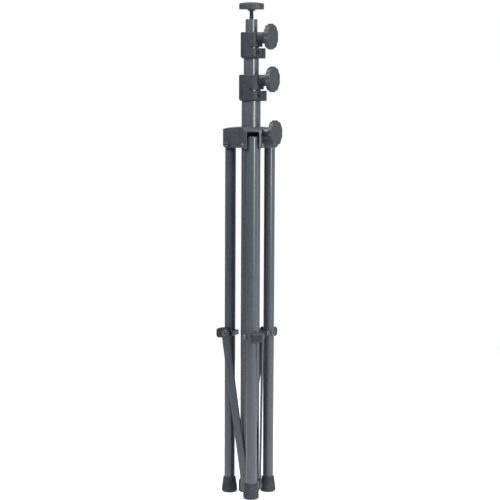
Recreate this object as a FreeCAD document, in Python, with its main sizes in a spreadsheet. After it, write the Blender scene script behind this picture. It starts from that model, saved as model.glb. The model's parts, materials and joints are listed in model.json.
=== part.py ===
"""Folded telescopic tripod stand: three-section column, sliding spider, three legs and three struts.

Millimetres, +Z up. The origin is on the column's axis at floor level. Azimuths are measured from
-Y towards +X, so leg A points to -Y. Pieces that belong to one leg or to the lock knobs are built
in a local frame, with X radially outward, Y tangential and Z up, and are then turned into place.
"""
import FreeCAD, Part
import os
import re
import Sketcher

Vector = FreeCAD.Vector
Rotation = FreeCAD.Rotation
Placement = FreeCAD.Placement

ALONG_X = Rotation(Vector(0, 1, 0), 90)
ALONG_Y = Rotation(Vector(1, 0, 0), -90)
UPRIGHT = Rotation()

LEG_AZIMUTHS = {"a": 0, "b": 120, "c": 240}
LOCK_AZIMUTH = 60
BASE_SCREW_AZIMUTH = 140
KNOB_LOBES = 10

# Driving dimensions: lengths in mm, heights above the floor, radii rather than diameters.
DIMENSIONS = {
    "gap": 0.3,                      # between pieces that move past each other
    "fit": 0.05,                     # between pieces fastened together
    "running": 0.1,                  # pins and threads in the holes they turn in
    "far": 70,                       # beyond any collar, hub or spider
    # column tubes
    "tube_wall": 1.5,
    "outer_radius": 17.5,
    "outer_bottom": 27,
    "middle_radius": 14,
    "inner_radius": 11,
    "inner_top": 875.5,
    "sections_bottom": 58,           # lower ends of the middle and inner tubes
    "bush_height": 15,
    "bush_gap": 0.2,
    "bush_lead": 0.8,
    "bush_lead_height": 1.5,
    # clamp collars
    "collar_height": 47.6,
    "seat_depth": 24.5,              # how far the lower tube reaches into its collar
    "top_chamfer": 1.5,
    "bottom_chamfer": 3,
    "slit_bottom": 18.6,             # above the collar's lower face
    "slit_height": 2.5,
    "slit_start": 7,                 # radial coordinate where the slit begins
    "pad_thickness": 0.8,            # raised housing round the lock boss
    "pad_back": 2.4,                 # how far the housing reaches behind the axis
    "pad_side_height": 34,           # height of the housing's lower edge at its back
    "pad_front": 14.5,               # radial coordinate where that edge meets the slit
    "lug_reach": 3.5,                # beyond the collar's radius
    "lug_half_width": 12,
    "split_width": 2,
    "pinch_offset": 4.2,             # pinch screw's axis beyond the seated tube's radius
    "pinch_height": 10.5,               # above the collar's lower face
    "lower_collar_bottom": 727.8,
    "lower_collar_radius": 22.4,
    "upper_collar_bottom": 804.6,
    "upper_collar_radius": 19.6,
    # pinch screws (M4) and their nuts
    "pinch_shank_radius": 2,
    "pinch_head_radius": 3.7,
    "pinch_head_height": 2.4,
    "pinch_recess": 3.2,
    "pinch_slot_width": 1,
    "pinch_slot_depth": 1,
    "pinch_nut_radius": 4.04,        # across corners
    "pinch_nut_height": 3,
    # lock screws (M8) with their nuts, pads and knobs
    "stud_radius": 3.9,
    "stud_bore_radius": 4.4,
    "stud_in_knob": 8,
    "stud_point": 1,
    "brake_pad_radius": 4.3,
    "brake_pad_length": 2.2,
    "insert_radius": 7.5,            # hex insert across corners
    "insert_height": 7,
    "boss_radius": 12.4,
    "boss_drop": 8.2,                # boss axis below the collar's top face
    "knob_radius": 23.4,
    "knob_thickness": 9.5,
    "knob_chamfer": 1.4,
    "knob_rim": 3.4,
    "knob_dish": 0.6,
    "neck_radius": 7.5,
    "neck_length": 4.3,
    "neck_gap": 0.7,
    "scallop_radius": 9,
    "scallop_depth": 1.3,
    "lower_boss_end": 33,
    "upper_boss_end": 29.1,
    "spider_boss_end": 38.5,
    # clamp knob on top
    "top_plug_length": 30,
    "clamp_opening": 15,             # between the column's top and the knob's boss
    "top_boss_radius": 7,
    "top_boss_height": 2.7,
    "top_knob_thickness": 10.7,      # at the rim
    "top_knob_dome": 2.3,
    "top_stud_bottom": 850.5,
    # spider
    "spider_bottom": 642.3,
    "spider_top": 681,
    "spider_bore_gap": 0.35,
    "sleeve_radius": 20.5,
    "arm_end": 52,
    "arm_root": 10,
    "cheek_inner": 10.9,
    "cheek_outer": 15.4,
    "roof_half_width": 16.6,
    "roof_underside": 672.8,
    "slot_start": 20.9,
    "arm_corner_chamfer": 3.5,
    "roof_end_drop": 5,              # the roof's fall below the hub's top, at four radii
    "roof_corner_drop": 3.8,
    "roof_corner_inset": 2,
    "roof_shoulder_drop": 2.4,
    "roof_shoulder_inset": 7,
    "roof_root_drop": 1.2,
    "roof_root_inset": 18,
    "roof_overlap": 1.5,
    "spider_boss_radius": 11,
    "spider_knob_height": 670,
    "dimple_radius": 2.4,
    "dimple_out": 40,
    "dimple_along": 8.5,
    "dimple_floor": 677.2,
    # legs and feet
    "leg_circle": 41.5,
    "leg_radius": 10,
    "leg_wall": 1.2,
    "leg_bottom": 4.2,
    "leg_top": 664,
    "leg_plug_depth": 8,
    "leg_plug_cap": 1,
    "foot_height": 28.5,
    "foot_top_radius": 12.2,
    "foot_low_radius": 14.6,
    "foot_low_height": 7,
    "foot_sole_radius": 12.2,
    "foot_lip": 1,
    "foot_lip_half": 0.4,
    "foot_sole_bevel": 0.6,
    "foot_sole_height": 1.8,
    # pivots
    "hub_pivot_height": 648.2,
    "strut_pivot_height": 300,
    "base_pivot_height": 15,
    "base_pivot_out": -1.5,
    "rivet_radius": 3,
    "rivet_head_radius": 4.3,
    "rivet_head_height": 1.7,
    "rivet_hollow_radius": 2,
    "rivet_hollow_depth": 4,
    "rivet_rim_share": 0.45,         # of the head's height
    "rivet_face_share": 0.72,        # of the head's radius
    "hub_head_reach": 3.6,
    # saddle bracket and spacer block on each leg
    "saddle_thickness": 2,
    "saddle_gap": 0.2,
    "saddle_lobe_radius": 5.8,
    "saddle_half_height": 4.5,
    "spacer_half_height": 8.6,
    "spacer_back": 8,
    "spacer_front": 19.5,
    "spacer_outer": 17.7,
    "spacer_chamfer": 3,
    # struts
    "strut_inner": 18,
    "strut_thickness": 3.4,
    "strut_half_width": 7.5,
    # base hub
    "hub_bottom": 5,
    "hub_radius": 20,
    "hub_flat": 17.7,
    "hub_chamfer": 1.5,
    "spigot_top": 57,
    "spigot_hole_radius": 6,
    "hub_pin_depth": 10,
    "base_screw_height": 42,
    "base_screw_radius": 2.4,
    "base_screw_inner": 12,
    "base_screw_head_radius": 4.3,
    "base_screw_head_height": 2.6,
    "base_screw_point": 1,
    "base_screw_point_height": 2,
    "base_screw_rim": 1.2,
    "base_screw_bevel": 1.4,
}

doc = FreeCAD.newDocument("tripod_stand")
sheet = doc.addObject("Spreadsheet::Sheet", "dims")
for row, (alias, value) in enumerate(DIMENSIONS.items(), start=1):
    sheet.set("A%d" % row, alias)
    sheet.set("B%d" % row, str(value))
    sheet.setAlias("B%d" % row, alias)
doc.recompute()

nodes = []


def expand(text):
    """Turn a short expression of alias names into one that refers to the sheet."""
    def alias_in_sheet(word):
        name = word.group()
        return "dims." + name if name in DIMENSIONS else name
    return re.sub("[a-z_]+", alias_in_sheet, text)


def place(solid, x="0", y="0", z="0", turn=UPRIGHT, azimuth=90):
    """Turn a solid, and put it at local (x, y, z) of the frame that faces the azimuth."""
    around = Rotation(Vector(0, 0, 1), azimuth - 90)
    solid.Placement = Placement(Vector(), around.multiply(turn))
    if azimuth != 90:
        sine = "sin(%g deg)" % azimuth
        cosine = "cos(%g deg)" % azimuth
        out, along = x, y
        x = "(%s) * %s + (%s) * %s" % (out, sine, along, cosine)
        y = "(%s) * %s - (%s) * %s" % (along, sine, out, cosine)
    for axis, text in zip("xyz", (x, y, z)):
        solid.setExpression("Placement.Base." + axis, expand(text))
    return solid


def primitive(kind, name, sizes, **where):
    """Add a Part primitive whose sizes and position follow the sheet."""
    solid = doc.addObject("Part::" + kind, name)
    for prop, text in sizes.items():
        solid.setExpression(prop, expand(text))
    return place(solid, **where)


def cylinder(name, radius, height, **where):
    return primitive("Cylinder", name, {"Radius": radius, "Height": height}, **where)


def box(name, low, high, **where):
    """Add a box between two local corners, each given as three expressions."""
    sizes = {}
    for prop, start, end in zip(("Length", "Width", "Height"), low, high):
        sizes[prop] = "( %s ) - ( %s )" % (end, start)
    return primitive("Box", name, sizes, x=low[0], y=low[1], z=low[2], **where)


def hexagon(name, corner_radius, height, **where):
    solid = primitive("Prism", name, {"Circumradius": corner_radius, "Height": height}, **where)
    solid.Polygon = 6
    return solid


def fuse(name, solids):
    result = doc.addObject("Part::MultiFuse", name)
    result.Shapes = solids
    return result


def cut(name, base, tools):
    result = doc.addObject("Part::Cut", name)
    result.Base = base
    result.Tool = tools[0] if len(tools) == 1 else fuse(name + "_tools", tools)
    return result


def common(name, first, second):
    result = doc.addObject("Part::MultiCommon", name)
    result.Shapes = [first, second]
    return result


def group(name, solids):
    result = doc.addObject("Part::Compound", name)
    result.Links = solids
    return result


def outline_sketch(body, name, outline):
    """Draw a closed polygon on the body's XZ plane, each corner held by two sheet expressions."""
    sketch = body.newObject("Sketcher::SketchObject", name)
    plane = [item for item in body.Origin.OriginFeatures if item.Role == "XZ_Plane"][0]
    sketch.AttachmentSupport = [(plane, "")]
    sketch.MapMode = "FlatFace"
    corners = [[float(sheet.evalExpression(expand(text))) for text in pair] for pair in outline]
    for start, end in zip(corners, corners[1:] + corners[:1]):
        sketch.addGeometry(Part.LineSegment(Vector(*start, 0), Vector(*end, 0)), False)
    count = len(corners)
    for index, (pair, corner) in enumerate(zip(outline, corners)):
        sketch.addConstraint(Sketcher.Constraint("Coincident", index, 2, (index + 1) % count, 1))
        for kind, text, value in zip(("DistanceX", "DistanceY"), pair, corner):
            number = sketch.addConstraint(Sketcher.Constraint(kind, -1, 1, index, 1, value))
            sketch.setExpression("Constraints[%d]" % number, expand(text))
    return sketch


def turned(name, outline, **where):
    """Revolve an outline of (radius, height) corners about the local Z axis."""
    body = doc.addObject("PartDesign::Body", name)
    sketch = outline_sketch(body, name + "_profile", outline)
    revolution = body.newObject("PartDesign::Revolution", name + "_turned")
    revolution.Profile = sketch
    revolution.ReferenceAxis = (sketch, ["V_Axis"])
    revolution.Angle = 360
    body.Tip = revolution
    return place(body, **where)


def extruded(name, outline, width, **where):
    """Pad an outline of (x, z) corners towards +Y."""
    body = doc.addObject("PartDesign::Body", name)
    sketch = outline_sketch(body, name + "_profile", outline)
    pad = body.newObject("PartDesign::Pad", name + "_pad")
    pad.Profile = sketch
    pad.Reversed = True
    pad.setExpression("Length", expand(width))
    body.Tip = pad
    return place(body, **where)


def keep(solid, label):
    """Name a finished sub-part."""
    solid.Label = label
    nodes.append(solid)
    return solid


def pipe(name, radius, wall, bottom, top):
    """Make the blank of a straight tube about the Z axis."""
    length = "( %s ) - ( %s )" % (top, bottom)
    outside = cylinder(name + "_outside", radius, length, z=bottom)
    inside = cylinder(name + "_inside", radius + " - " + wall, length, z=bottom)
    return cut(name, outside, [inside])


def rivet_outline(shank, head):
    """Give the outline of a tubular rivet: shank up from z = 0, then its bevelled head."""
    top = "%s + %s" % (shank, head)
    floor = top + " - rivet_hollow_depth"
    return [
        ("0", "0"),
        ("rivet_radius", "0"),
        ("rivet_radius", shank),
        ("rivet_head_radius", shank),
        ("rivet_head_radius", "%s + ( %s ) * rivet_rim_share" % (shank, head)),
        ("rivet_head_radius * rivet_face_share", top),
        ("rivet_hollow_radius", top),
        ("rivet_hollow_radius", floor),
        ("0", floor),
    ]


def make_column_tubes():
    blank = pipe("outer_tube_blank", "outer_radius", "tube_wall", "outer_bottom",
                 "lower_collar_bottom + seat_depth")
    hole = cylinder("outer_tube_hole", "base_screw_radius + fit", "outer_radius",
                    z="base_screw_height", turn=ALONG_X, azimuth=BASE_SCREW_AZIMUTH)
    keep(cut("outer_tube", blank, [hole]), "outer_tube")
    keep(pipe("middle_tube", "middle_radius", "tube_wall", "sections_bottom",
              "upper_collar_bottom + seat_depth"), "middle_tube")
    keep(pipe("inner_tube", "inner_radius", "tube_wall", "sections_bottom", "inner_top"), "inner_tube")


def make_bush(label, tube, around):
    """Make the guide ring at a tube's lower end, which slides inside the tube around it."""
    inside = tube + " + fit"
    outside = around + " - tube_wall - bush_gap"
    ring = [
        (inside, "0"),
        (outside + " - bush_lead", "0"),
        (outside, "bush_lead_height"),
        (outside, "bush_height"),
        (inside, "bush_height"),
    ]
    keep(turned(label, ring, z="sections_bottom"), label)


def make_collar(which, seated, guided):
    """Make one clamp collar: a seat for the lower tube, and a guide for the tube that slides."""
    bottom = which + "_collar_bottom"
    radius = which + "_collar_radius"
    top = bottom + " + collar_height"
    slit = bottom + " + slit_bottom"
    boss_height = top + " - boss_drop"
    boss_end = which + "_boss_end"
    pinch_out = seated + " + pinch_offset"
    pinch_height = bottom + " + pinch_height"
    name = which + "_collar"

    shell = turned(name + "_shell", [
        ("0", "0"),
        (radius + " - bottom_chamfer", "0"),
        (radius, "bottom_chamfer"),
        (radius, "collar_height - top_chamfer"),
        (radius + " - top_chamfer", "collar_height"),
        ("0", "collar_height"),
    ], z=bottom)
    lug = box(name + "_lug", ("0", "-lug_half_width", bottom),
              (radius + " + lug_reach", "lug_half_width", slit + " + slit_height / 2"))
    boss_cylinder = cylinder(name + "_boss_cylinder", "boss_radius", boss_end, z=boss_height, turn=ALONG_X)
    boss_limit = box(name + "_boss_limit", ("0", "-boss_radius", slit), (boss_end, "boss_radius", top))
    boss = common(name + "_boss", boss_cylinder, boss_limit)
    housing_skin = cylinder(name + "_housing_skin", radius + " + pad_thickness", "collar_height", z=bottom)
    housing_side = extruded(name + "_housing_side", [
        ("-pad_back", "collar_height - top_chamfer"),
        ("-pad_back", "pad_side_height"),
        ("pad_front", "slit_bottom + slit_height / 2"),
        ("pad_front * 2", "slit_bottom + slit_height / 2"),
        ("pad_front * 2", "collar_height - top_chamfer"),
    ], "pad_front * 4", y="-pad_front * 2", z=bottom)
    housing = common(name + "_housing", housing_skin, housing_side)

    seat = cylinder(name + "_seat", seated + " + fit", "seat_depth", z=bottom)
    guide = cylinder(name + "_guide", guided + " + gap", "collar_height", z=bottom)
    slit_cut = box(name + "_slit", ("slit_start", "-far", slit),
                   ("far", "far", slit + " + slit_height"))
    split = box(name + "_split", ("0", "-split_width / 2", bottom),
                ("far", "split_width / 2", slit + " + slit_height / 2"))
    screw_hole = cylinder(name + "_screw_hole", "pinch_shank_radius + fit", "lug_half_width * 2",
                          x=pinch_out, y="-lug_half_width", z=pinch_height, turn=ALONG_Y)
    head_recess = cylinder(name + "_head_recess", "pinch_head_radius + gap", "pinch_recess",
                           x=pinch_out, y="-lug_half_width", z=pinch_height, turn=ALONG_Y)
    nut_recess = hexagon(name + "_nut_recess", "pinch_nut_radius + fit", "pinch_nut_height",
                         x=pinch_out, y="lug_half_width - pinch_nut_height", z=pinch_height, turn=ALONG_Y)
    stud_bore = cylinder(name + "_stud_bore", "stud_bore_radius", boss_end, z=boss_height, turn=ALONG_X)
    insert_pocket = hexagon(name + "_insert_pocket", "insert_radius + fit", "insert_height",
                            x=boss_end + " - insert_height", z=boss_height, turn=ALONG_X)
    body = fuse(name + "_body", [shell, lug, boss, housing])
    tools = [seat, guide, slit_cut, split, screw_hole, head_recess, nut_recess, stud_bore, insert_pocket]
    collar = cut(name, body, tools)
    keep(place(collar, azimuth=LOCK_AZIMUTH), name)

    head_base = "-lug_half_width + pinch_recess"
    screw = cylinder(which + "_pinch_shank", "pinch_shank_radius", "lug_half_width * 2 - pinch_recess",
                     x=pinch_out, y=head_base, z=pinch_height, turn=ALONG_Y)
    head = cylinder(which + "_pinch_head", "pinch_head_radius", "pinch_head_height",
                    x=pinch_out, y=head_base + " - pinch_head_height", z=pinch_height, turn=ALONG_Y)
    slot_low = (pinch_out + " - pinch_slot_width / 2", head_base + " - pinch_head_height",
                pinch_height + " - pinch_head_radius")
    slot_high = (pinch_out + " + pinch_slot_width / 2",
                 head_base + " - pinch_head_height + pinch_slot_depth",
                 pinch_height + " + pinch_head_radius")
    slot = box(which + "_pinch_slot", slot_low, slot_high)
    label = which + "_pinch_screw"
    solid = cut(label, fuse(which + "_pinch_blank", [screw, head]), [slot])
    keep(place(solid, azimuth=LOCK_AZIMUTH), label)

    nut_blank = hexagon(which + "_pinch_nut_blank", "pinch_nut_radius", "pinch_nut_height",
                        x=pinch_out, y="lug_half_width - pinch_nut_height", z=pinch_height, turn=ALONG_Y)
    nut_hole = cylinder(which + "_pinch_nut_hole", "pinch_shank_radius + fit", "pinch_nut_height",
                        x=pinch_out, y="lug_half_width - pinch_nut_height", z=pinch_height, turn=ALONG_Y)
    label = which + "_pinch_nut"
    keep(place(cut(label, nut_blank, [nut_hole]), azimuth=LOCK_AZIMUTH), label)

    make_lock(which, boss_height, guided + " + gap", boss_end)


def make_lock(which, height, guide_radius, boss_end):
    """Make a lock: pad against the tube, hex insert in the boss, stud, and lobed knob."""
    pad_end = guide_radius + " + brake_pad_length"
    label = which + "_brake_pad"
    keep(cylinder(label, "brake_pad_radius", "brake_pad_length",
                  x=guide_radius, z=height, turn=ALONG_X, azimuth=LOCK_AZIMUTH), label)

    insert_base = boss_end + " - insert_height"
    blank = hexagon(which + "_insert_blank", "insert_radius", "insert_height",
                    x=insert_base, z=height, turn=ALONG_X)
    hole = cylinder(which + "_insert_hole", "stud_radius + running", "insert_height",
                    x=insert_base, z=height, turn=ALONG_X)
    label = which + "_insert_nut"
    keep(place(cut(label, blank, [hole]), azimuth=LOCK_AZIMUTH), label)

    neck = boss_end + " + neck_gap"
    label = which + "_lock_stud"
    length = "( %s + stud_in_knob ) - ( %s + gap )" % (neck, pad_end)
    keep(turned(label, [
        ("0", "0"),
        ("stud_radius - stud_point", "0"),
        ("stud_radius", "stud_point"),
        ("stud_radius", length),
        ("0", length),
    ], x=pad_end + " + gap", z=height, turn=ALONG_X, azimuth=LOCK_AZIMUTH), label)

    knob = lobed_knob(which + "_lock_knob", "neck_radius", "neck_length", "knob_thickness", "stud_in_knob", [
        ("knob_radius - knob_rim", "0"),
        ("knob_radius - knob_rim - knob_dish", "-knob_dish"),
        ("0", "-knob_dish"),
    ])
    keep(place(knob, x=neck, z=height, turn=ALONG_X, azimuth=LOCK_AZIMUTH), which + "_lock_knob")


def lobed_knob(name, neck_radius, neck_length, thickness, bore_depth, face):
    """Make a knob about Z: neck from z = 0, then a disc with shallow scallops in its edge.

    The face is the outline of the disc's outer side, from its rim inwards, as (radius, height above
    the rim) corners.
    """
    rim = neck_length + " + " + thickness
    blank = turned(name + "_blank", [
        ("stud_radius + running", "0"),
        (neck_radius, "0"),
        (neck_radius, neck_length),
        ("knob_radius - knob_chamfer", neck_length),
        ("knob_radius", neck_length + " + knob_chamfer"),
        ("knob_radius", rim + " - knob_chamfer"),
        ("knob_radius - knob_chamfer", rim),
    ] + [(radius, "%s + %s" % (rim, height)) for radius, height in face] + [
        ("0", bore_depth + " + gap"),
        ("stud_radius + running", bore_depth + " + gap"),
    ])
    scallops = []
    for index in range(KNOB_LOBES):
        centre = "knob_radius + scallop_radius - scallop_depth"
        scallops.append(cylinder(name + "_scallop", "scallop_radius", rim,
                                 x=centre, azimuth=index * 360 / KNOB_LOBES))
    return cut(name, blank, scallops)


def make_top_clamp():
    """Make the threaded plug in the column's top, and the knob that clamps a bracket on it."""
    plug = turned("top_plug", [
        ("stud_radius + running", "0"),
        ("inner_radius - tube_wall - fit", "0"),
        ("inner_radius - tube_wall - fit", "top_plug_length"),
        ("stud_radius + running", "top_plug_length"),
    ], z="inner_top - top_plug_length")
    keep(plug, "top_plug")

    knob_bottom = "inner_top + clamp_opening"
    length = "(%s + top_boss_height + stud_in_knob) - top_stud_bottom" % knob_bottom
    stud = turned("top_stud", [
        ("0", "0"),
        ("stud_radius - stud_point", "0"),
        ("stud_radius", "stud_point"),
        ("stud_radius", length),
        ("0", length),
    ], z="top_stud_bottom")
    keep(stud, "top_stud")

    knob = lobed_knob("top_knob", "top_boss_radius", "top_boss_height", "top_knob_thickness",
                      "top_boss_height + stud_in_knob", [
                          ("knob_radius * 0.8", "top_knob_dome * 0.4"),
                          ("knob_radius * 0.5", "top_knob_dome * 0.85"),
                          ("knob_radius * 0.2", "top_knob_dome"),
                          ("0", "top_knob_dome"),
                      ])
    keep(place(knob, z=knob_bottom), "top_knob")


def make_spider():
    """Make the sliding hub with its three clevis arms, their leg pivots and the hub's own lock."""
    envelope = turned("spider_envelope", [
        ("0", "spider_bottom"),
        ("arm_end - arm_corner_chamfer", "spider_bottom"),
        ("arm_end", "spider_bottom + arm_corner_chamfer"),
        ("arm_end", "spider_top - roof_end_drop"),
        ("arm_end - roof_corner_inset", "spider_top - roof_corner_drop"),
        ("arm_end - roof_shoulder_inset", "spider_top - roof_shoulder_drop"),
        ("arm_end - roof_root_inset", "spider_top - roof_root_drop"),
        ("sleeve_radius", "spider_top"),
        ("0", "spider_top"),
    ])
    solids = [cylinder("spider_sleeve", "sleeve_radius", "spider_top - spider_bottom", z="spider_bottom")]
    tools = [cylinder("spider_bore", "outer_radius + spider_bore_gap", "far", z="spider_bottom - gap")]
    for azimuth in LEG_AZIMUTHS.values():
        cheeks = box("spider_cheeks", ("arm_root", "-cheek_outer", "spider_bottom"),
                     ("far", "cheek_outer", "roof_underside"))
        roof = box("spider_roof", ("arm_root", "-roof_half_width", "roof_underside - roof_overlap"),
                   ("far", "roof_half_width", "spider_top"))
        slot = box("spider_slot", ("slot_start", "-cheek_inner", "spider_bottom - 1"),
                   ("far", "cheek_inner", "roof_underside"))
        pivot = cylinder("spider_pivot", "rivet_radius + fit", "cheek_outer * 2",
                         x="leg_circle", y="-cheek_outer", z="hub_pivot_height", turn=ALONG_Y)
        dimples = []
        for side in ("-", ""):
            dimples.append(cylinder("spider_dimple", "dimple_radius", "far",
                                    x="dimple_out", y=side + "dimple_along", z="dimple_floor"))
        solids.append(place(fuse("spider_arm", [cheeks, roof]), azimuth=azimuth))
        tools.append(place(fuse("spider_arm_cuts", [slot, pivot] + dimples), azimuth=azimuth))

    solids.append(cylinder("spider_boss", "spider_boss_radius", "spider_boss_end",
                           z="spider_knob_height", turn=ALONG_X, azimuth=LOCK_AZIMUTH))
    stud_bore = cylinder("spider_stud_bore", "stud_bore_radius", "far", z="spider_knob_height", turn=ALONG_X)
    pocket = hexagon("spider_insert_pocket", "insert_radius + fit", "insert_height",
                     x="spider_boss_end - insert_height", z="spider_knob_height", turn=ALONG_X)
    tools.append(place(fuse("spider_lock_cuts", [stud_bore, pocket]), azimuth=LOCK_AZIMUTH))
    trimmed = common("spider_trimmed", fuse("spider_blank", solids), envelope)
    keep(cut("spider_hub", trimmed, tools), "spider_hub")

    make_lock("spider", "spider_knob_height", "outer_radius + spider_bore_gap", "spider_boss_end")


def make_hub_rivets():
    """Make the three leg pivots of the spider: tubular rivets, headed on both sides."""
    rivets = []
    for azimuth in LEG_AZIMUTHS.values():
        shank = cylinder("hub_rivet_shank", "rivet_radius", "cheek_outer * 2 + hub_head_reach * 2",
                         x="leg_circle", y="-cheek_outer - hub_head_reach", z="hub_pivot_height", turn=ALONG_Y)
        heads = []
        hollows = []
        for start, hollow_start in (("-cheek_outer - hub_head_reach", "-cheek_outer - hub_head_reach"),
                                    ("cheek_outer", "cheek_outer + hub_head_reach - rivet_hollow_depth")):
            heads.append(cylinder("hub_rivet_head", "rivet_head_radius", "hub_head_reach",
                                  x="leg_circle", y=start, z="hub_pivot_height", turn=ALONG_Y))
            hollows.append(cylinder("hub_rivet_hollow", "rivet_hollow_radius", "rivet_hollow_depth",
                                    x="leg_circle", y=hollow_start, z="hub_pivot_height", turn=ALONG_Y))
        rivet = cut("hub_rivet", fuse("hub_rivet_blank", [shank] + heads), hollows)
        rivets.append(place(rivet, azimuth=azimuth))
    keep(group("hub_rivets", rivets), "hub_rivets")


def make_leg(letter, azimuth):
    """Make one leg: tube, top plug, rubber foot, strut saddle, spacer block and saddle rivet."""
    blank = pipe("leg_blank_" + letter, "leg_radius", "leg_wall", "leg_bottom", "leg_top")
    place(blank, x="leg_circle")
    hub_hole = cylinder("leg_hub_hole_" + letter, "rivet_radius + running", "leg_radius * 2",
                        x="leg_circle", y="-leg_radius", z="hub_pivot_height", turn=ALONG_Y)
    saddle_hole = cylinder("leg_saddle_hole_" + letter, "rivet_radius + fit", "leg_radius * 2",
                           x="leg_circle", y="-leg_radius", z="strut_pivot_height", turn=ALONG_Y)
    label = "leg_tube_" + letter
    keep(place(cut(label, blank, [hub_hole, saddle_hole]), azimuth=azimuth), label)

    label = "leg_plug_" + letter
    keep(turned(label, [
        ("0", "0"),
        ("leg_radius - leg_wall - fit", "0"),
        ("leg_radius - leg_wall - fit", "leg_plug_depth"),
        ("leg_radius", "leg_plug_depth"),
        ("leg_radius - leg_plug_cap", "leg_plug_depth + leg_plug_cap"),
        ("0", "leg_plug_depth + leg_plug_cap"),
    ], x="leg_circle", z="leg_top - leg_plug_depth", azimuth=azimuth), label)

    label = "foot_" + letter
    keep(turned(label, [
        ("0", "0"),
        ("foot_sole_radius", "0"),
        ("foot_low_radius - foot_sole_bevel", "foot_sole_height"),
        ("foot_low_radius", "foot_low_height / 2"),
        ("foot_low_radius", "foot_low_height"),
        ("foot_top_radius + foot_lip_half", "foot_height - foot_lip"),
        ("foot_top_radius - foot_lip_half", "foot_height"),
        ("leg_radius + fit", "foot_height"),
        ("leg_radius + fit", "leg_bottom"),
        ("0", "leg_bottom"),
    ], x="leg_circle", azimuth=azimuth), label)

    make_saddle(letter, azimuth)
    make_spacer(letter, azimuth)

    label = "saddle_rivet_" + letter
    reach = "saddle_gap + leg_radius + saddle_thickness"
    keep(turned(label, rivet_outline("spacer_outer + %s" % reach, "rivet_head_height * 2"),
                x="leg_circle", y="spacer_outer", z="strut_pivot_height",
                turn=Rotation(Vector(1, 0, 0), 90), azimuth=azimuth), label)


def make_saddle(letter, azimuth):
    """Make the pressed bracket that straddles a leg at its strut pivot."""
    outer = "leg_radius + saddle_gap + saddle_thickness"
    inner = "leg_radius + saddle_gap"
    lobe = cylinder("saddle_lobe_" + letter, "saddle_lobe_radius", "(%s) * 2" % outer,
                    x="leg_circle", y="-(%s)" % outer, z="strut_pivot_height", turn=ALONG_Y)
    web = box("saddle_web_" + letter,
              ("leg_circle - (%s)" % outer, "-(%s)" % outer, "strut_pivot_height - saddle_half_height"),
              ("leg_circle", outer, "strut_pivot_height + saddle_half_height"))
    space = box("saddle_space_" + letter,
                ("leg_circle - (%s)" % inner, "-(%s)" % inner, "strut_pivot_height - spacer_half_height"),
                ("far", inner, "strut_pivot_height + spacer_half_height"))
    hole = cylinder("saddle_hole_" + letter, "rivet_radius + fit", "(%s) * 2" % outer,
                    x="leg_circle", y="-(%s)" % outer, z="strut_pivot_height", turn=ALONG_Y)
    label = "saddle_" + letter
    keep(place(cut(label, fuse("saddle_blank_" + letter, [lobe, web]), [space, hole]), azimuth=azimuth), label)


def make_spacer(letter, azimuth):
    """Make the plastic block that spaces the strut from the leg and hooks round the leg's front."""
    back = "leg_circle - spacer_back"
    front = "leg_circle + spacer_front"
    bottom = "strut_pivot_height - spacer_half_height"
    top = "strut_pivot_height + spacer_half_height"
    side = "leg_radius + saddle_gap + saddle_thickness + saddle_gap"
    block = extruded("spacer_block_" + letter, [
        (back, bottom + " + spacer_chamfer"),
        (back + " + spacer_chamfer", bottom),
        (front + " - spacer_chamfer", bottom),
        (front, bottom + " + spacer_chamfer"),
        (front, top + " - spacer_chamfer"),
        (front + " - spacer_chamfer", top),
        (back + " + spacer_chamfer", top),
        (back, top + " - spacer_chamfer"),
    ], "spacer_outer")
    space = box("spacer_space_" + letter, (back + " - 1", "-1", bottom + " - 1"),
                ("leg_circle + leg_radius + gap", side, top + " + 1"))
    hole = cylinder("spacer_hole_" + letter, "rivet_radius + fit", "spacer_outer",
                    x="leg_circle", z="strut_pivot_height", turn=ALONG_Y)
    label = "spacer_" + letter
    keep(place(cut(label, block, [space, hole]), azimuth=azimuth), label)


def make_strut(letter, azimuth):
    """Make one strut, a flat bar that leans out from the base hub to the leg, and its top rivet."""
    rise = "strut_pivot_height - base_pivot_height"
    run = "leg_circle - base_pivot_out"
    length = "sqrt((%s) * (%s) + (%s) * (%s))" % (rise, rise, run, run)
    lean = FreeCAD.Units.Quantity(str(sheet.evalExpression(expand("atan((%s) / (%s))" % (run, rise)))))
    bar = box("strut_bar_" + letter, ("-strut_half_width", "strut_inner", "0"),
              ("strut_half_width", "strut_inner + strut_thickness", length))
    ends = []
    holes = []
    for height, clearance in (("0", "running"), (length, "fit")):
        ends.append(cylinder("strut_end_" + letter, "strut_half_width", "strut_thickness",
                             y="strut_inner", z=height, turn=ALONG_Y))
        holes.append(cylinder("strut_hole_" + letter, "rivet_radius + " + clearance, "strut_thickness",
                              y="strut_inner", z=height, turn=ALONG_Y))
    label = "strut_" + letter
    solid = cut(label, fuse("strut_blank_" + letter, [bar] + ends), holes)
    keep(place(solid, x="base_pivot_out", z="base_pivot_height",
               turn=Rotation(Vector(0, 1, 0), lean.Value), azimuth=azimuth), label)

    label = "strut_rivet_" + letter
    keep(turned(label, rivet_outline("strut_thickness - fit", "rivet_head_height"),
                x="leg_circle", y="strut_inner + fit", z="strut_pivot_height",
                turn=ALONG_Y, azimuth=azimuth), label)


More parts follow.
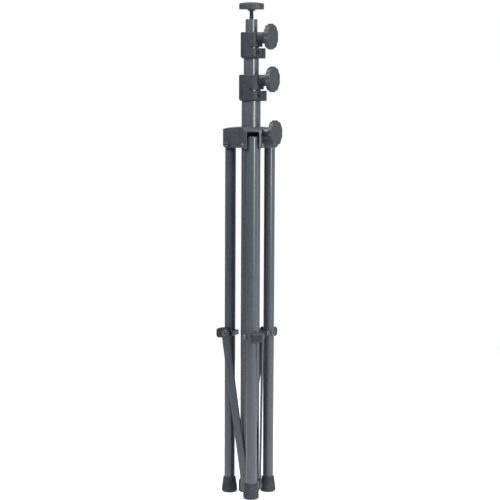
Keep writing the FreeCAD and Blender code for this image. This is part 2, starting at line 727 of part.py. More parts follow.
def make_base():
    """Make the base hub, the screw that fixes it in the outer tube, and the strut pivots."""
    blank = turned("base_hub_blank", [
        ("spigot_hole_radius", "hub_bottom"),
        ("hub_radius - hub_chamfer", "hub_bottom"),
        ("hub_radius", "hub_bottom + hub_chamfer"),
        ("hub_radius", "outer_bottom - hub_chamfer"),
        ("hub_radius - hub_chamfer", "outer_bottom"),
        ("outer_radius - tube_wall - running", "outer_bottom"),
        ("outer_radius - tube_wall - running", "spigot_top - hub_chamfer"),
        ("outer_radius - tube_wall - hub_chamfer", "spigot_top"),
        ("spigot_hole_radius", "spigot_top"),
    ])
    tools = []
    rivets = []
    for azimuth in LEG_AZIMUTHS.values():
        flat = box("hub_flat_cut", ("-hub_radius", "hub_flat", "hub_bottom"),
                   ("hub_radius", "far", "outer_bottom"))
        pin_hole = cylinder("hub_pin_hole", "rivet_radius + fit", "hub_pin_depth",
                            x="base_pivot_out", y="hub_flat - hub_pin_depth", z="base_pivot_height",
                            turn=ALONG_Y)
        tools.append(place(fuse("hub_cuts", [flat, pin_hole]), azimuth=azimuth))
        shank = "hub_pin_depth + (strut_inner - hub_flat) + strut_thickness + gap"
        rivets.append(turned("base_rivet", rivet_outline(shank, "rivet_head_height"),
                             x="base_pivot_out", y="hub_flat - hub_pin_depth", z="base_pivot_height",
                             turn=ALONG_Y, azimuth=azimuth))
    tools.append(cylinder("hub_screw_hole", "base_screw_radius + fit", "far", x="base_screw_inner - gap",
                          z="base_screw_height", turn=ALONG_X, azimuth=BASE_SCREW_AZIMUTH))
    keep(cut("base_hub", blank, tools), "base_hub")
    keep(group("base_rivets", rivets), "base_rivets")

    shank = "outer_radius + fit - base_screw_inner"
    top = shank + " + base_screw_head_height"
    keep(turned("base_screw", [
        ("0", "0"),
        ("base_screw_radius - base_screw_point", "0"),
        ("base_screw_radius", "base_screw_point_height"),
        ("base_screw_radius", shank),
        ("base_screw_head_radius", shank),
        ("base_screw_head_radius", shank + " + base_screw_rim"),
        ("base_screw_head_radius - base_screw_bevel", top),
        ("0", top),
    ], x="base_screw_inner", z="base_screw_height", turn=ALONG_X, azimuth=BASE_SCREW_AZIMUTH), "base_screw")


def check_and_export():
    """Stop if anything failed, then write each sub-part to its own file."""
    doc.recompute()
    for item in doc.Objects:
        if "Invalid" in item.State or "Error" in item.State:
            raise RuntimeError("%s failed: %s" % (item.Name, item.State))
    os.makedirs("parts", exist_ok=True)
    for node in nodes:
        if node.Shape.isNull() or not node.Shape.isValid():
            raise RuntimeError("%s has no valid shape" % node.Label)
        node.Shape.exportStep("parts/%s.step" % node.Label)


make_column_tubes()
make_bush("middle_bush", "middle_radius", "outer_radius")
make_bush("inner_bush", "inner_radius", "middle_radius")
make_collar("lower", "outer_radius", "middle_radius")
make_collar("upper", "middle_radius", "inner_radius")
make_top_clamp()
make_base()
make_spider()
make_hub_rivets()
for leg_letter, leg_azimuth in LEG_AZIMUTHS.items():
    make_leg(leg_letter, leg_azimuth)
    make_strut(leg_letter, leg_azimuth)
check_and_export()
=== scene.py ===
"""Looks for the folded telescopic tripod stand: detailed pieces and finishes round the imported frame.

Everything is in metres, in the frame's own axes. An azimuth is measured from -Y towards +X, and a
local point is (out, along, up): radially outward, tangential, and up from the floor.
"""
import json
import math

import bmesh
import bpy
from mathutils import Matrix, Vector


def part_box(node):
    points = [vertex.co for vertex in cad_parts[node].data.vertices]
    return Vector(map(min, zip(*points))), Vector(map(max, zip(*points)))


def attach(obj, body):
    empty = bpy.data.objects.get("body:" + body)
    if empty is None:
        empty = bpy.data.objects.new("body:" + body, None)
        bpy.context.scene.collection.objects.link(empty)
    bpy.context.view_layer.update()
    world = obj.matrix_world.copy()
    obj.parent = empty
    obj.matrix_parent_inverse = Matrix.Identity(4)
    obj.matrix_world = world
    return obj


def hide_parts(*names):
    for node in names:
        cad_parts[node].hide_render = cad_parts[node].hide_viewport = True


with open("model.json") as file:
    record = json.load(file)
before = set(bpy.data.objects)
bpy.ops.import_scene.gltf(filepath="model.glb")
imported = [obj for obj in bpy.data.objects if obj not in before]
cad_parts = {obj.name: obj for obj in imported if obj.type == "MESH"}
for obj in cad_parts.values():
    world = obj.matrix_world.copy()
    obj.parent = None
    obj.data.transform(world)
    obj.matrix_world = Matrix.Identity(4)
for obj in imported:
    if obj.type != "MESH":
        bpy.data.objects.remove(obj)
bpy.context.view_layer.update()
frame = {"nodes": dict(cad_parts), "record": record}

MM = 0.001
RECORD = frame["record"]
BODY_OF = {node: body for body, members in RECORD["behaviour"]["bodies"].items() for node in members}
SLOT_OF = {part["node"]: part["material_slot"] for part in RECORD["subparts"]}
LEG_AZIMUTHS = {"a": 0, "b": 120, "c": 240}
LOCK_AZIMUTH = 60
KNOB_LOBES = 10
THREAD_PITCH = 1.25 * MM
COLUMN_WALL = 1.5 * MM
LEG_WALL = 1.2 * MM
TUBE_LIP = 0.45 * MM
LOCK_NECK_RADIUS = 7.5 * MM
LOCK_NECK_LENGTH = 4.3 * MM
CLAMP_NECK_RADIUS = 7 * MM
CLAMP_NECK_LENGTH = 2.7 * MM
CLAMP_CROWN = 2.3 * MM              # how far the clamp knob's domed face rises above its rim
KNOB_DISH = 0.6 * MM
SCALLOP_DEPTH = 1.3 * MM
STRUT_HALF_WIDTH = 7.5 * MM
RIVET_SHANK_RADIUS = 3 * MM
RIVET_HEAD_RADIUS = 4.3 * MM
RIVET_HOLLOW_RADIUS = 1.7 * MM
RIVET_HEAD = 1.7 * MM
SADDLE_RIVET_HEAD = 3.4 * MM
HUB_RIVET_HOLLOW_RADIUS = 2 * MM
HUB_RIVET_HEAD = 3.6 * MM
HUB_RIVET_REACH = 20.1 * MM         # from the leg's axis to a head's face
BASE_RIVET_START = 8.8 * MM         # from the hub's middle plane to the shank's hidden end
OUT = (1, 0, 0)
ALONG = (0, 1, 0)
BACK_ALONG = (0, -1, 0)
UP = (0, 0, 1)

scene = bpy.context.scene


# ---------------------------------------------------------------- places in the frame

def facing(azimuth):
    """The matrix whose columns point radially outward, tangentially and up at an azimuth."""
    angle = math.radians(azimuth)
    sine = math.sin(angle)
    cosine = math.cos(angle)
    return Matrix(((sine, cosine, 0), (-cosine, sine, 0), (0, 0, 1))).to_4x4()


def axis_at(azimuth, point, direction=UP):
    """The matrix that puts a piece made along Z on a local point, pointing in a local direction."""
    turn = Vector(direction).to_track_quat("Z", "Y").to_matrix().to_4x4()
    return facing(azimuth) @ Matrix.Translation(point) @ turn


def local_box(node, azimuth):
    """Lowest and highest corner of a CAD node in the local frame at an azimuth."""
    into_local = facing(azimuth).inverted()
    points = [into_local @ vertex.co for vertex in frame["nodes"][node].data.vertices]
    low = Vector([min(point[axis] for point in points) for axis in range(3)])
    high = Vector([max(point[axis] for point in points) for axis in range(3)])
    return low, high


def middle(node, azimuth):
    low, high = local_box(node, azimuth)
    return (low + high) / 2


# ---------------------------------------------------------------- finishes

def add_node(tree, kind, values=(), **settings):
    """Add a shader node; values are (input name or number, constant or output socket)."""
    node = tree.nodes.new("ShaderNode" + kind)
    for setting, value in settings.items():
        setattr(node, setting, value)
    for key, value in values:
        if isinstance(value, bpy.types.NodeSocket):
            tree.links.new(value, node.inputs[key])
        else:
            node.inputs[key].default_value = value
    return node


def noise(tree, scale, detail=4.0, stretch=(1, 1, 1), roughness=0.55):
    """Noise in the piece's own metres, so it keeps its size and place on every piece."""
    coordinates = add_node(tree, "TexCoord")
    mapping = add_node(tree, "Mapping", [("Vector", coordinates.outputs["Object"]), ("Scale", stretch)])
    texture = add_node(tree, "TexNoise", [
        ("Vector", mapping.outputs["Vector"]),
        ("Scale", scale),
        ("Detail", detail),
        ("Roughness", roughness),
    ])
    return texture.outputs["Fac"]


def remap(tree, value, from_low, from_high, to_low, to_high):
    node = add_node(tree, "MapRange", [
        ("Value", value),
        ("From Min", from_low),
        ("From Max", from_high),
        ("To Min", to_low),
        ("To Max", to_high),
    ])
    return node.outputs["Result"]


def mix_colours(tree, factor, first, second):
    node = tree.nodes.new("ShaderNodeMix")
    node.data_type = "RGBA"
    for socket, value in (("Factor_Float", factor), ("A_Color", first), ("B_Color", second)):
        target = next(item for item in node.inputs if item.identifier == socket)
        if isinstance(value, bpy.types.NodeSocket):
            tree.links.new(value, target)
        else:
            target.default_value = (*value, 1)
    return next(item for item in node.outputs if item.identifier == "Result_Color")


def multiply(tree, first, second):
    node = add_node(tree, "Math", [(0, first), (1, second)], operation="MULTIPLY")
    return node.outputs["Value"]


def edge_wear_and_sheen_mask(tree, radius, patches):
    """Where an edge has lost its finish, and where some finishes paint a highlight along it: convex corners
    of that radius, in patches of a noise.
    """
    bevel = add_node(tree, "Bevel", [("Radius", radius)], samples=6)
    geometry = add_node(tree, "NewGeometry")
    dot = add_node(tree, "VectorMath", [
        (0, bevel.outputs["Normal"]),
        (1, geometry.outputs["Normal"]),
    ], operation="DOT_PRODUCT")
    corner = remap(tree, dot.outputs["Value"], 0.985, 0.9, 0, 1)
    return multiply(tree, corner, remap(tree, noise(tree, patches, 5), 0.42, 0.66, 0, 1))


def finish(slot_name, colour, mottle=0.1, mottle_scale=60, grain_scale=1500, grain_height=0.02,
           roughness=(0.35, 0.5), metallic=0.0, specular=0.5, edge_wear_and_sheen=None, edge_wear_and_sheen_amount=0.5,
           edge_wear_and_sheen_radius=0.7, streaks=0.0, dust=0.0):
    """Make one finish: mottled colour, fine grain, uneven gloss, dust, and convex edges lightened to a base
    colour by wear, on some finishes also as a painted highlight.
    """
    material = bpy.data.materials.new(slot_name)
    material.use_nodes = True
    tree = material.node_tree
    shader = tree.nodes["Principled BSDF"]
    clouds = noise(tree, mottle_scale, 6)
    dark = [channel * (1 - mottle) for channel in colour]
    light = [min(1, channel * (1 + mottle)) for channel in colour]
    surface = mix_colours(tree, remap(tree, clouds, 0.3, 0.7, 0, 1), dark, light)
    gloss = remap(tree, noise(tree, mottle_scale * 3, 5), 0.3, 0.7, roughness[0], roughness[1])
    if streaks:
        rubbed = noise(tree, 900, 3, stretch=(1, 1, 0.012))
        factor = remap(tree, rubbed, 0.6, 0.78, 0, streaks)
        surface = mix_colours(tree, factor, surface, [min(1, channel * 1.9) for channel in colour])
    if dust:
        settled = remap(tree, noise(tree, 140, 8, roughness=0.7), 0.5, 0.72, 0, dust)
        surface = mix_colours(tree, settled, surface, (0.30, 0.29, 0.27))
    # Lighten convex edges: real edge wear, and on some finishes also a painted highlight along the edges.
    if edge_wear_and_sheen:
        factor = multiply(tree, edge_wear_and_sheen_mask(tree, edge_wear_and_sheen_radius * MM, 420), edge_wear_and_sheen_amount)
        surface = mix_colours(tree, factor, surface, edge_wear_and_sheen)
    tree.links.new(surface, shader.inputs["Base Color"])
    tree.links.new(gloss, shader.inputs["Roughness"])
    bump = add_node(tree, "Bump", [
        ("Strength", 0.6),
        ("Distance", grain_height * MM),
        ("Height", noise(tree, grain_scale, 3)),
    ])
    tree.links.new(bump.outputs["Normal"], shader.inputs["Normal"])
    shader.inputs["Metallic"].default_value = metallic
    shader.inputs["Specular IOR Level"].default_value = specular
    return material


FINISHES = {
    "tube_paint": finish("tube_paint", (0.050, 0.059, 0.070), mottle=0.06,
                         grain_scale=1300, grain_height=0.02, roughness=(0.26, 0.34),
                         edge_wear_and_sheen=(0.25, 0.26, 0.27), edge_wear_and_sheen_amount=0.5, streaks=0.12, dust=0.03),
    "casting_paint": finish("casting_paint", (0.034, 0.040, 0.047), mottle=0.09, grain_scale=900,
                            grain_height=0.05, roughness=(0.34, 0.46), edge_wear_and_sheen=(0.3, 0.31, 0.32),
                            edge_wear_and_sheen_amount=0.5, edge_wear_and_sheen_radius=0.9, dust=0.05),
    # The light edge colour is partly real edge wear and partly a painted highlight along the moulded
    # creases.
    "collar_plastic": finish("collar_plastic", (0.015, 0.018, 0.022), specular=0.35,
                             mottle=0.1, grain_scale=2200, grain_height=0.035,
                             roughness=(0.5, 0.64), edge_wear_and_sheen=(0.2, 0.205, 0.21),
                             edge_wear_and_sheen_amount=0.8, edge_wear_and_sheen_radius=0.9, dust=0.05),
    "knob_plastic": finish("knob_plastic", (0.023, 0.027, 0.032), specular=0.4, mottle=0.1, grain_scale=2200,
                           grain_height=0.035, roughness=(0.46, 0.6), edge_wear_and_sheen=(0.14, 0.145, 0.15),
                           edge_wear_and_sheen_amount=0.5, edge_wear_and_sheen_radius=0.8, dust=0.05),
    "spacer_plastic": finish("spacer_plastic", (0.009, 0.009, 0.011), mottle=0.15, grain_scale=1800,
                             grain_height=0.04, roughness=(0.45, 0.6), edge_wear_and_sheen=(0.07, 0.07, 0.072),
                             edge_wear_and_sheen_amount=0.4, dust=0.05),
    "pad_plastic": finish("pad_plastic", (0.6, 0.59, 0.54), mottle=0.05, grain_scale=1800,
                          grain_height=0.03, roughness=(0.4, 0.55)),
    "foot_rubber": finish("foot_rubber", (0.020, 0.025, 0.031), mottle=0.14, mottle_scale=90,
                          grain_scale=1600, grain_height=0.06, roughness=(0.62, 0.8), specular=0.4,
                          edge_wear_and_sheen=(0.075, 0.075, 0.075), edge_wear_and_sheen_amount=0.5, edge_wear_and_sheen_radius=1.0, dust=0.10),
    # Steel darkened nearly to black, partly as painted shade of the recesses the pinch screws sit in; its
    # bright edge colour is partly a painted highlight on the slot edges.
    "screw_steel": finish("screw_steel", (0.12, 0.12, 0.125), mottle=0.1, grain_scale=2600,
                          grain_height=0.01, roughness=(0.26, 0.42), metallic=1.0,
                          edge_wear_and_sheen=(0.6, 0.6, 0.6), edge_wear_and_sheen_amount=0.3, edge_wear_and_sheen_radius=0.3),
    "rivet_steel": finish("rivet_steel", (0.07, 0.08, 0.092), mottle=0.1, grain_scale=1500,
                          grain_height=0.02, roughness=(0.32, 0.45), edge_wear_and_sheen=(0.34, 0.35, 0.36),
                          edge_wear_and_sheen_amount=0.7, edge_wear_and_sheen_radius=0.4),
}


# ---------------------------------------------------------------- mesh building

def fillet(corners, radius, steps=5, closed=True):
    """Round the corners of an outline. A corner is (x, y), or (x, y, its own radius)."""
    rounded = []
    for index, corner in enumerate(corners):
        here = Vector(corner[:2])
        wanted = corner[2] if len(corner) > 2 else radius
        at_end = not closed and index in (0, len(corners) - 1)
        before = Vector(corners[index - 1][:2]) - here
        after = Vector(corners[(index + 1) % len(corners)][:2]) - here
        if at_end or wanted == 0 or before.length == 0 or after.length == 0:
            rounded.append(here)
            continue
        half = before.angle(after) / 2
        if math.pi / 2 - half < 0.02:
            rounded.append(here)
            continue
        reach = min(wanted / math.tan(half), before.length * 0.48, after.length * 0.48)
        start = here + before.normalized() * reach
        end = here + after.normalized() * reach
        for step in range(steps + 1):
            t = step / steps
            rounded.append(start * (1 - t) ** 2 + here * 2 * t * (1 - t) + end * t * t)
    return rounded


def lathe(outline, segments=96, closed=False, shape=None):
    """Turn (radius, height) points about Z. shape(angle, radius, height) gives a point's radius."""
    points = []
    rings = []
    for radius, height in outline:
        if radius < 1e-9:
            rings.append([len(points)])
            points.append((0, 0, height))
            continue
        ring = []
        for index in range(segments):
            angle = 2 * math.pi * index / segments
            here = shape(angle, radius, height) if shape else radius
            ring.append(len(points))
            points.append((here * math.cos(angle), here * math.sin(angle), height))
        rings.append(ring)
    faces = []
    pairs = list(zip(rings, rings[1:]))
    if closed:
        pairs.append((rings[-1], rings[0]))
    for lower, upper in pairs:
        for index in range(segments):
            after = (index + 1) % segments
            if len(lower) == 1 and len(upper) == 1:
                break
            if len(lower) == 1:
                faces.append((lower[0], upper[index], upper[after]))
            elif len(upper) == 1:
                faces.append((lower[index], lower[after], upper[0]))
            else:
                faces.append((lower[index], lower[after], upper[after], upper[index]))
    return points, faces


def slab(outline, thickness, edge, steps=4):
    """Raise a convex outline to a slab about Z = 0..thickness, its two rims rounded by the edge radius."""
    layers = []
    for step in range(steps + 1):
        angle = math.pi / 2 * step / steps
        layers.append((edge * (1 - math.sin(angle)), edge * (1 - math.cos(angle))))
    for inset, height in list(reversed(layers)):
        layers.append((inset, thickness - height))
    count = len(outline)
    centre = sum((Vector(point) for point in outline), Vector((0, 0))) / count
    normals = []
    for index in range(count):
        side = Vector(outline[(index + 1) % count]) - Vector(outline[index - 1])
        normal = Vector((side.y, -side.x)).normalized()
        if normal.dot(Vector(outline[index]) - centre) < 0:
            normal.negate()
        normals.append(normal)
    points = []
    for inset, height in layers:
        for point, normal in zip(outline, normals):
            moved = Vector(point) - normal * inset
            points.append((moved.x, moved.y, height))
    faces = []
    for layer in range(len(layers) - 1):
        for index in range(count):
            after = (index + 1) % count
            base = layer * count
            faces.append((base + index, base + after, base + count + after, base + count + index))
    faces.append(tuple(range(count)))
    faces.append(tuple(range(len(points) - count, len(points))))
    return points, faces


def moved(mesh_data, matrix):
    points, faces = mesh_data
    return [matrix @ Vector(point) for point in points], faces


def joined(*several):
    """Put several meshes into one, as separate solids of one piece."""
    points = []
    faces = []
    for some_points, some_faces in several:
        start = len(points)
        points.extend(some_points)
        faces.extend(tuple(start + index for index in face) for face in some_faces)
    return points, faces


def dress(mesh, node, name, sharp_angle=40):
    """Make an object of a mesh, shade it, give it its node's finish and body, and hide that node."""
    work = bmesh.new()
    work.from_mesh(mesh)
    bmesh.ops.remove_doubles(work, verts=work.verts, dist=1e-7)
    bmesh.ops.recalc_face_normals(work, faces=work.faces)
    work.to_mesh(mesh)
    work.free()
    mesh.shade_smooth()
    mesh.set_sharp_from_angle(angle=math.radians(sharp_angle))
    mesh.materials.clear()
    mesh.materials.append(FINISHES[SLOT_OF[node]])
    piece = bpy.data.objects.new(name, mesh)
    scene.collection.objects.link(piece)
    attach(piece, BODY_OF[node])
    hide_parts(node)
    return piece


def add_piece(node, mesh_data, matrix):
    """Add a detailed piece that stands for a CAD node."""
    mesh = bpy.data.meshes.new(node + "_detail")
    points, faces = mesh_data
    mesh.from_pydata([tuple(point) for point in points], [], faces)
    mesh.transform(matrix)
    return dress(mesh, node, node + "_detail")


def mould(node, voxel, smoothing, keep):
    """Copy a CAD node's mesh as a moulded or cast piece: even mesh, softened edges, then thinned out."""
    rough = bpy.data.objects.new(node + "_rough", frame["nodes"][node].data.copy())
    scene.collection.objects.link(rough)
    remesh = rough.modifiers.new("even", "REMESH")
    remesh.mode = "VOXEL"
    remesh.voxel_size = voxel * MM
    smooth = rough.modifiers.new("soften", "SMOOTH")
    smooth.factor = 0.5
    smooth.iterations = smoothing
    thin = rough.modifiers.new("thin", "DECIMATE")
    thin.ratio = keep
    graph = bpy.context.evaluated_depsgraph_get()
    mesh = bpy.data.meshes.new_from_object(rough.evaluated_get(graph))
    bpy.data.objects.remove(rough)
    return dress(mesh, node, node + "_detail", 60)


# ---------------------------------------------------------------- pieces

def add_tube(node, azimuth=0):
    """A drawn tube with rolled lips at both ends."""
    low, high = local_box(node, azimuth)
    radius = (high.y - low.y) / 2
    centre = (low + high) / 2
    wall = LEG_WALL if "leg" in node else COLUMN_WALL
    length = high.z - low.z
    ring = [(radius, 0), (radius, length), (radius - wall, length), (radius - wall, 0)]
    mesh_data = lathe(fillet(ring, TUBE_LIP), 96, closed=True)
    add_piece(node, mesh_data, axis_at(azimuth, (centre.x, 0, low.z)))


def lobes(radius_from, radius_to):
    """A radius rule that scallops a rim: nothing inside radius_from, full depth from radius_to on."""
    def rule(angle, radius, height):
        share = max(0.0, min(1.0, (radius - radius_from) / (radius_to - radius_from)))
        wave = 0.5 + 0.5 * math.cos(KNOB_LOBES * angle)
        return radius - SCALLOP_DEPTH * share * wave ** 1.5
    return rule


def dished_face(radius, top):
    """A lock knob's face from its rim inwards: a shallow dish with a low boss in the middle."""
    floor = top - KNOB_DISH
    return [
        (radius - 0.9 * MM, top, 0.5 * MM),
        (radius - 3.4 * MM, top, 0.4 * MM),
        (radius - 4.1 * MM, floor, 0.5 * MM),
        (6.4 * MM, floor, 0.3 * MM),
        (6.1 * MM, floor + 0.3 * MM, 0.3 * MM),
        (0, floor + 0.3 * MM),
    ]


def domed_face(radius, top):
    """The clamp knob's face from its rim inwards: a low crown."""
    rim = top - CLAMP_CROWN
    face = [(radius - 1.2 * MM, rim, 0.8 * MM)]
    for share in (0.85, 0.7, 0.5, 0.3, 0.15):
        rise = CLAMP_CROWN * (1 - (share / 0.95) ** 2) * 0.98
        face.append((radius * share, rim + rise, 4 * MM))
    face.append((0, top - 0.05 * MM))
    return face


def knob_mesh(radius, neck_radius, neck_length, rim, face):
    """A moulded knob along Z: neck, lobed disc up to its rim's height, and the given face."""
    outline = [
        (0, 0.4 * MM),
        (4.2 * MM, 0.4 * MM),
        (4.2 * MM, 0),
        (neck_radius, 0, 0.8 * MM),
        (neck_radius, neck_length, 1.2 * MM),
        (radius - 1.0 * MM, neck_length, 0.4 * MM),
        (radius, neck_length + 0.8 * MM, 0.6 * MM),
        (radius, rim - 1.0 * MM, 0.7 * MM),
    ] + face
    rounded = fillet(outline, 0.4 * MM, closed=False)
    return lathe(rounded, 160, shape=lobes(radius - 5 * MM, radius - 0.6 * MM))


def threaded_rod(radius, length, point=0.9):
    """A stud along Z with a helical V thread and a pointed lower end."""
    depth = 0.62 * MM
    per_pitch = 8
    count = int(length / THREAD_PITCH * per_pitch)
    outline = [(0, 0)]
    for index in range(count + 1):
        height = length * index / count
        outline.append((min(radius, radius - point * MM + height), height))
    outline.append((0, length))

    def thread(angle, here, height):
        turn = (height / THREAD_PITCH - angle / (2 * math.pi)) % 1
        return here - depth * (1 - abs(2 * turn - 1))

    return lathe(outline, 40, shape=thread)


def rivet_mesh(shank, head, hollow=RIVET_HOLLOW_RADIUS, both=False):
    """A tubular rivet along Z: shank, domed head, and the hollow that its rolled end leaves."""
    shank_radius = RIVET_SHANK_RADIUS
    head_radius = RIVET_HEAD_RADIUS
    outline = []
    if both:
        outline += [(0, 2.4 * MM), (hollow, 2.4 * MM), (hollow, 0, 0.5 * MM),
                    (head_radius * 0.85, 0, 0.9 * MM), (head_radius, head * 0.55, 0.9 * MM),
                    (head_radius, head, 0.2 * MM), (shank_radius, head)]
    else:
        outline += [(0, 0), (shank_radius, 0)]
    outline += [
        (shank_radius, shank),
        (head_radius, shank, 0.2 * MM),
        (head_radius, shank + head * 0.45, 0.9 * MM),
        (head_radius * 0.85, shank + head, 0.9 * MM),
        (hollow, shank + head, 0.5 * MM),
        (hollow, shank + head - 2.4 * MM),
        (0, shank + head - 2.4 * MM),
    ]
    return lathe(fillet(outline, 0, closed=False), 48)


def add_lock(which):
    """A lock's stud and knob, along the lock azimuth."""
    low, high = local_box(which + "_lock_knob", LOCK_AZIMUTH)
    radius = (high.z - low.z) / 2
    axis_height = (high.z + low.z) / 2
    length = high.x - low.x
    face = dished_face(radius, length)
    knob = knob_mesh(radius, LOCK_NECK_RADIUS, LOCK_NECK_LENGTH, length, face)
    add_piece(which + "_lock_knob", knob, axis_at(LOCK_AZIMUTH, (low.x, 0, axis_height), OUT))
    low, high = local_box(which + "_lock_stud", LOCK_AZIMUTH)
    stud = threaded_rod((high.z - low.z) / 2, high.x - low.x)
    add_piece(which + "_lock_stud", stud, axis_at(LOCK_AZIMUTH, (low.x, 0, axis_height), OUT))


def add_top_clamp():
    low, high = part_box("top_knob")
    radius = (high.y - low.y) / 2
    length = high.z - low.z
    face = domed_face(radius, length)
    knob = knob_mesh(radius, CLAMP_NECK_RADIUS, CLAMP_NECK_LENGTH, length - CLAMP_CROWN, face)
    add_piece("top_knob", knob, Matrix.Translation((0, 0, low.z)))
    low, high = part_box("top_stud")
    stud = threaded_rod((high.x - low.x) / 2, high.z - low.z)
    add_piece("top_stud", stud, Matrix.Translation((0, 0, low.z)))
    low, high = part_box("top_plug")
    radius = (high.x - low.x) / 2
    length = high.z - low.z
    ring = [
        (4.0 * MM, 0),
        (radius, 0),
        (radius, length, 0.4 * MM),
        (5.2 * MM, length, 0.3 * MM),
        (4.0 * MM, length - 1.2 * MM, 0.3 * MM),
    ]
    add_piece("top_plug", lathe(fillet(ring, 0.2 * MM), 72, closed=True), Matrix.Translation((0, 0, low.z)))


def add_foot(node, azimuth):
    """A rubber foot: flared skirt, rolled lip, a groove above the tread, and a chamfered sole."""
    low, high = local_box(node, azimuth)
    radius = (high.y - low.y) / 2
    height = high.z - low.z
    bore = 10.05 * MM
    outline = [
        (0, 1.2 * MM),
        (5 * MM, 1.2 * MM, 0.3 * MM),
        (5.8 * MM, 0, 0.3 * MM),
        (radius - 2.6 * MM, 0, 1.0 * MM),
        (radius - 0.5 * MM, 2.2 * MM, 1.4 * MM),
        (radius, 4.4 * MM, 2 * MM),
        (radius - 0.15 * MM, 7.6 * MM, 1 * MM),
        (radius - 0.75 * MM, 8.0 * MM, 0.3 * MM),
        (radius - 0.75 * MM, 8.7 * MM, 0.3 * MM),
        (radius - 0.45 * MM, 9.0 * MM, 0.3 * MM),
        (11.9 * MM, height - 2.6 * MM, 0.8 * MM),
        (12.0 * MM, height - 1.0 * MM, 0.8 * MM),
        (11.5 * MM, height, 0.6 * MM),
        (bore + 0.3 * MM, height, 0.3 * MM),
        (bore, height - 0.8 * MM, 0.3 * MM),
        (bore, 4.2 * MM),
        (0, 4.2 * MM),
    ]
    centre = (low + high) / 2
    foot = lathe(fillet(outline, 0.2 * MM, closed=False), 96)
    add_piece(node, foot, axis_at(azimuth, (centre.x, 0, low.z)))


def add_leg_plug(node, azimuth):
    low, high = local_box(node, azimuth)
    height = high.z - low.z
    outline = [
        (0, 0),
        (8.7 * MM, 0, 0.4 * MM),
        (8.75 * MM, height - 1 * MM),
        (10 * MM, height - 1 * MM, 0.2 * MM),
        (9.6 * MM, height - 0.1 * MM, 0.6 * MM),
        (0, height),
    ]
    centre = (low + high) / 2
    plug = lathe(fillet(outline, 0.2 * MM, closed=False), 72)
    add_piece(node, plug, axis_at(azimuth, (centre.x, 0, low.z)))


def add_strut(letter, azimuth):
    """A flat bar with round ends and rolled edges, leaning from the base hub out to the leg."""
    node = "strut_" + letter
    low, high = local_box(node, azimuth)
    half = STRUT_HALF_WIDTH
    start = Vector((low.x + half, low.y, low.z + half))
    end = Vector((high.x - half, low.y, high.z - half))
    length = (end - start).length
    outline = []
    for centre_x, from_angle in ((length, -90), (0, 90)):
        for step in range(17):
            angle = math.radians(from_angle + 180 * step / 16)
            outline.append((centre_x + half * math.cos(angle), half * math.sin(angle)))
    thickness = high.y - low.y
    bar = slab(outline, thickness, 1.1 * MM)
    lengthwise = (end - start).normalized()
    across = Vector(ALONG).cross(lengthwise)
    turn = Matrix((lengthwise, across, Vector(ALONG))).transposed().to_4x4()
    if turn.determinant() < 0:
        turn = Matrix((lengthwise, -across, Vector(ALONG))).transposed().to_4x4()
    add_piece(node, bar, facing(azimuth) @ Matrix.Translation(start) @ turn)


def add_leg_rivets(letter, azimuth):
    low, high = local_box("saddle_rivet_" + letter, azimuth)
    centre = (low + high) / 2
    rivet = rivet_mesh(high.y - low.y - SADDLE_RIVET_HEAD, SADDLE_RIVET_HEAD)
    add_piece("saddle_rivet_" + letter, rivet, axis_at(azimuth, (centre.x, high.y, centre.z), BACK_ALONG))
    low, high = local_box("strut_rivet_" + letter, azimuth)
    centre = (low + high) / 2
    rivet = rivet_mesh(high.y - low.y - RIVET_HEAD, RIVET_HEAD)
    add_piece("strut_rivet_" + letter, rivet, axis_at(azimuth, (centre.x, low.y, centre.z), ALONG))


def add_hub_rivets():
    """The spider's three leg pivots, one piece as in the frame."""
    rivets = []
    low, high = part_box("hub_rivets")
    height = (low.z + high.z) / 2
    out = middle("leg_tube_a", 0).x
    shank = HUB_RIVET_REACH * 2 - HUB_RIVET_HEAD
    for azimuth in LEG_AZIMUTHS.values():
        rivet = rivet_mesh(shank, HUB_RIVET_HEAD, HUB_RIVET_HOLLOW_RADIUS, both=True)
        rivets.append(moved(rivet, axis_at(azimuth, (out, -HUB_RIVET_REACH, height), ALONG)))
    add_piece("hub_rivets", joined(*rivets), Matrix.Identity(4))


def add_base_rivets():
    rivets = []
    low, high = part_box("base_rivets")
    height = (low.z + high.z) / 2
    strut_low, strut_high = local_box("strut_a", 0)
    out = strut_low.x + STRUT_HALF_WIDTH
    shank = strut_high.y + 0.3 * MM - BASE_RIVET_START
    for azimuth in LEG_AZIMUTHS.values():
        rivet = rivet_mesh(shank, RIVET_HEAD)
        rivets.append(moved(rivet, axis_at(azimuth, (out, BASE_RIVET_START, height), ALONG)))
    add_piece("base_rivets", joined(*rivets), Matrix.Identity(4))


def finish_shown_nodes():
    """Give every CAD node that still shows its slot's finish."""
    for node, piece in frame["nodes"].items():
        if piece.hide_render:
            continue
        piece.data.materials.clear()
        piece.data.materials.append(FINISHES[SLOT_OF[node]])


# ---------------------------------------------------------------- stage, light and camera

def add_stage():
    """A plain pale sheet that the stand is on, a few times as wide as the stand is tall."""
    mesh = bpy.data.meshes.new("floor")
    size = 1.6
    corners = [(-size, -size, 0), (size, -size, 0), (size, size, 0), (-size, size, 0)]
    mesh.from_pydata(corners, [], [(0, 1, 2, 3)])
    floor = bpy.data.objects.new("floor", mesh)
    scene.collection.objects.link(floor)
    material = bpy.data.materials.new("floor")
    material.use_nodes = True
    shader = material.node_tree.nodes["Principled BSDF"]
    shader.inputs["Base Color"].default_value = (0.8, 0.8, 0.8, 1)
    shader.inputs["Roughness"].default_value = 0.9
    shader.inputs["Emission Color"].default_value = (1, 1, 1, 1)
    shader.inputs["Emission Strength"].default_value = 0.75
    mesh.materials.append(material)


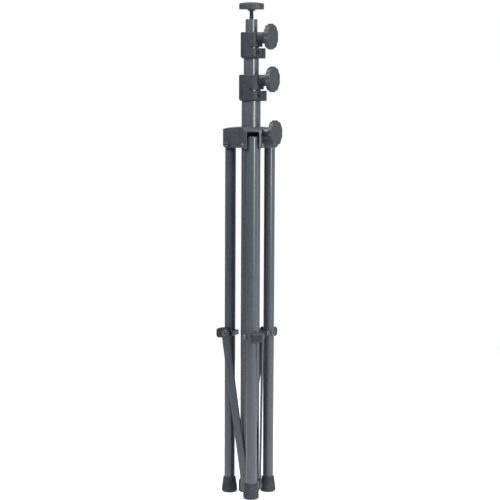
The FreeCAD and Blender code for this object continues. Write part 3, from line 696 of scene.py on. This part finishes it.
def add_world():
    """White to the camera; the object is lit by a dimmer surround, brighter on +X and behind it."""
    world = bpy.data.worlds.new("studio")
    scene.world = world
    world.use_nodes = True
    tree = world.node_tree
    tree.nodes.clear()
    direction = add_node(tree, "TexCoord").outputs["Generated"]
    parts = add_node(tree, "SeparateXYZ", [("Vector", direction)])
    side = remap(tree, parts.outputs["X"], 0.25, 0.9, 0.07, 0.9)
    back = remap(tree, parts.outputs["Y"], 0.75, 1.0, 0, 1.6)
    strength = add_node(tree, "Math", [(0, side), (1, back)], operation="ADD").outputs["Value"]
    surround = add_node(tree, "Background", [("Color", (0.96, 0.98, 1, 1)), ("Strength", strength)])
    behind = add_node(tree, "Background", [("Color", (1, 1, 1, 1)), ("Strength", 1.0)])
    path = add_node(tree, "LightPath")
    mix = add_node(tree, "MixShader", [
        (0, path.outputs["Is Camera Ray"]),
        (1, surround.outputs["Background"]),
        (2, behind.outputs["Background"]),
    ])
    add_node(tree, "OutputWorld", [("Surface", mix.outputs["Shader"])])


def add_light(name, azimuth, distance, height, width, tall, power, aim_height, spread=180):
    """A rectangular soft box at an azimuth round the object, aimed at a height on its axis."""
    light = bpy.data.lights.new(name, "AREA")
    light.shape = "RECTANGLE"
    light.size = width
    light.size_y = tall
    light.energy = power
    light.spread = math.radians(spread)
    lamp = bpy.data.objects.new(name, light)
    scene.collection.objects.link(lamp)
    lamp.location = facing(azimuth) @ Vector((distance, 0, height))
    lamp.rotation_euler = (Vector((0, 0, aim_height)) - lamp.location).to_track_quat("-Z", "Y").to_euler()


def add_camera():
    """A long lens in front, a little to the left, most of the way up the stand and tilted down."""
    camera = bpy.data.cameras.new("camera")
    camera.sensor_width = 36
    camera.lens = 134.0
    camera.clip_end = 500
    viewer = bpy.data.objects.new("camera", camera)
    scene.collection.objects.link(viewer)
    viewer.location = facing(-4) @ Vector((3.4, 0, 0.79))
    target = Vector((-0.0009, 0, 0.4549))
    look = (target - viewer.location).to_track_quat("-Z", "Y")
    roll = Matrix.Rotation(math.radians(0.25), 4, "Z")
    viewer.rotation_euler = (look.to_matrix().to_4x4() @ roll).to_euler()
    scene.camera = viewer


for tube in ("outer_tube", "middle_tube", "inner_tube"):
    add_tube(tube)
for collar in ("lower_collar", "upper_collar"):
    mould(collar, 0.35, 2, 0.25)
mould("spider_hub", 0.5, 3, 0.25)
add_top_clamp()
for lock in ("upper", "lower", "spider"):
    add_lock(lock)
for leg, leg_azimuth in LEG_AZIMUTHS.items():
    add_tube("leg_tube_" + leg, leg_azimuth)
    add_leg_plug("leg_plug_" + leg, leg_azimuth)
    add_foot("foot_" + leg, leg_azimuth)
    mould("saddle_" + leg, 0.35, 2, 0.4)
    mould("spacer_" + leg, 0.45, 3, 0.3)
    add_strut(leg, leg_azimuth)
    add_leg_rivets(leg, leg_azimuth)
add_hub_rivets()
add_base_rivets()
mould("base_hub", 0.6, 4, 0.3)
for screw in ("upper_pinch_screw", "lower_pinch_screw", "upper_pinch_nut", "lower_pinch_nut", "base_screw"):
    mould(screw, 0.15, 2, 0.4)
finish_shown_nodes()

add_stage()
add_world()
add_light("key", 36, 2.4, 1.1, 0.3, 1.0, 47, 0.6)
add_light("front_fill", -20, 1.0, 1.5, 0.5, 0.5, 0.9, 0.9, spread=60)
add_light("upper_left", -80, 1.4, 2.0, 0.5, 0.5, 5.5, 0.82, spread=60)
add_light("overhead", 10, 0.5, 2.5, 0.8, 0.8, 26, 0.5)
add_camera()
scene.view_settings.view_transform = "Standard"
